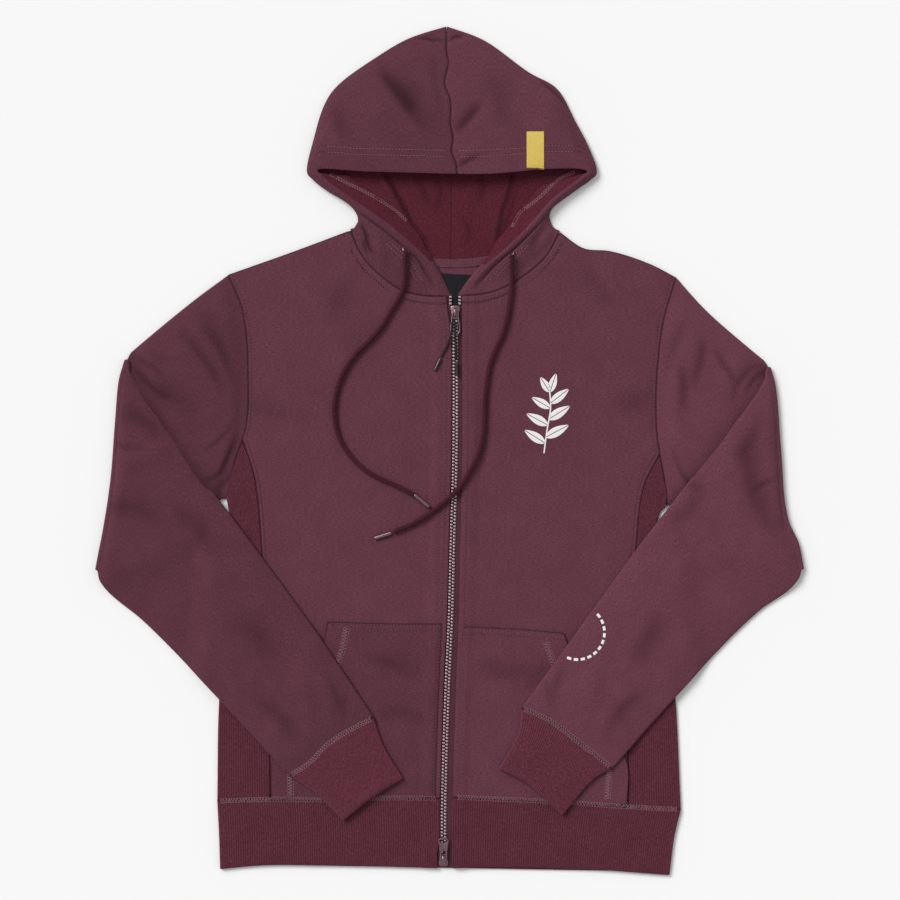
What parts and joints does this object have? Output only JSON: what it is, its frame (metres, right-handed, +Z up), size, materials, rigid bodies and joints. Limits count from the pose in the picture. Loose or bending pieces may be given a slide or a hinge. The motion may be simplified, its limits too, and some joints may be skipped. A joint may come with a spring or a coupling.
{
  "type": "zip-up hoodie",
  "caption": "Zip-up hooded sweatshirt laid flat on its back, sleeves folded in over the front, with ribbed hem, cuffs and side panels, pouch pockets and a drawcord.",
  "frame": {"origin": "middle of the garment's outline on the surface that it lies on", "axes": "+Z up from the surface, out of the garment's front; +Y from the hem to the hood; +X to the wearer's left"},
  "size_m": [0.7506, 0.8983, 0.0179],
  "materials": {
    "back": "smooth melange face",
    "cord_tip_left": "satin, tinted",
    "cord_tip_right": "satin, tinted",
    "cuff_left": "fine rib knit",
    "cuff_right": "fine rib knit",
    "drawcord_left": "braided cord",
    "drawcord_right": "braided cord",
    "eyelet_left": "satin, tinted",
    "eyelet_right": "satin, tinted",
    "front_left": "smooth melange face",
    "front_right": "smooth melange face",
    "hem_band": "fine rib knit",
    "hood_left": "smooth melange face",
    "hood_right": "smooth melange face",
    "hood_tab": "woven tab",
    "neck_label": "woven satin",
    "neck_tape": "woven tape",
    "pocket_left": "smooth melange face",
    "pocket_right": "smooth melange face",
    "pull_bottom": "satin, tinted",
    "pull_strand_a": "braided cord",
    "pull_strand_b": "braided cord",
    "pull_tip_a": "moulded",
    "pull_tip_b": "moulded",
    "pull_top": "satin, tinted",
    "side_panel_left": "fine rib knit",
    "side_panel_right": "fine rib knit",
    "sleeve_left": "smooth melange face",
    "sleeve_right": "smooth melange face",
    "slider_bottom": "satin, tinted",
    "slider_top": "satin, tinted",
    "zip_chain": "metallic moulded teeth",
    "zip_tape_left": "woven tape",
    "zip_tape_right": "woven tape"
  },
  "bodies": {
    "garment": {"back": "back", "cord_tip_left": "cord_tip_left", "cord_tip_right": "cord_tip_right", "cuff_left": "cuff_left", "cuff_right": "cuff_right", "drawcord_left": "drawcord_left", "drawcord_right": "drawcord_right", "eyelet_left": "eyelet_left", "eyelet_right": "eyelet_right", "front_left": "front_left", "front_right": "front_right", "hem_band": "hem_band", "hood_left": "hood_left", "hood_right": "hood_right", "hood_tab": "hood_tab", "neck_label": "neck_label", "neck_tape": "neck_tape", "pocket_left": "pocket_left", "pocket_right": "pocket_right", "side_panel_left": "side_panel_left", "side_panel_right": "side_panel_right", "sleeve_left": "sleeve_left", "sleeve_right": "sleeve_right", "slider_bottom": "slider_bottom", "slider_top": "slider_top", "zip_chain": "zip_chain", "zip_tape_left": "zip_tape_left", "zip_tape_right": "zip_tape_right"},
    "pull_top": {"pull_top": "pull_top", "pull_strand_a": "pull_strand_a", "pull_strand_b": "pull_strand_b", "pull_tip_a": "pull_tip_a", "pull_tip_b": "pull_tip_b"},
    "pull_bottom": {"pull_bottom": "pull_bottom"}
  },
  "joints": [
    {"name": "pull_top_hinge", "type": "hinge", "parent": "garment", "child": "pull_top", "pos_m": [0.006, 0.146, 0.0068], "axis": [-1, 0, 0], "range_deg": [0, 150]},
    {"name": "pull_bottom_hinge", "type": "hinge", "parent": "garment", "child": "pull_bottom", "pos_m": [-0.0064, -0.4325, 0.0068], "axis": [1, 0, 0], "range_deg": [0, 150]}
  ]
}
